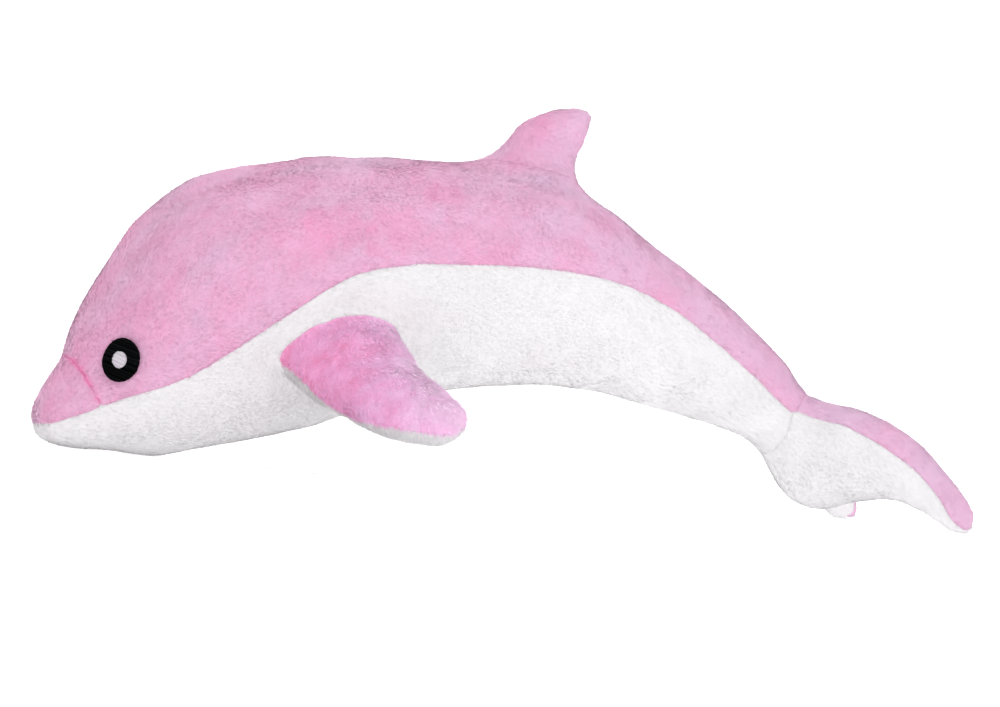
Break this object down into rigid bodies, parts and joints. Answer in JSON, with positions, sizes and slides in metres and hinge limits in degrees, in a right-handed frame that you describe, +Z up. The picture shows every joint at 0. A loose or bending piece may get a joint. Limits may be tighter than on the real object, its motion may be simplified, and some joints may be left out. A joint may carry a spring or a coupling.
{
  "type": "plush dolphin",
  "caption": "Soft stuffed dolphin with a pink and white pile skin, a back fin, side flippers, a forked tail and embroidered eyes.",
  "frame": {"origin": "centre of the bounding box, on the surface that the toy rests on", "axes": "+X from the nose to the tail, +Y to the toy's right side, +Z up"},
  "size_m": [0.499, 0.249, 0.2025],
  "materials": {
    "pink_plush": "short-pile polyester plush, pink",
    "white_plush": "short-pile polyester plush, white",
    "polyester_fill": "loose polyester fibre filling",
    "black_thread": "satin-stitch embroidery thread, black",
    "white_thread": "satin-stitch embroidery thread, off-white"
  },
  "bodies": {
    "root": {"back_panel_left": "pink_plush", "back_panel_right": "pink_plush", "beak_panel": "pink_plush", "belly_panel": "white_plush", "body_stuffing": "polyester_fill", "dorsal_fin_left": "pink_plush", "dorsal_fin_right": "pink_plush", "dorsal_fin_stuffing": "polyester_fill", "flipper_left_top": "pink_plush", "flipper_left_underside": "white_plush", "flipper_left_stuffing": "polyester_fill", "flipper_right_top": "pink_plush", "flipper_right_underside": "white_plush", "flipper_right_stuffing": "polyester_fill", "fluke_top": "pink_plush", "fluke_underside": "white_plush", "fluke_stuffing": "polyester_fill", "eye_left": "black_thread", "eye_left_highlight": "white_thread", "eye_right": "black_thread", "eye_right_highlight": "white_thread"}
  },
  "joints": []
}
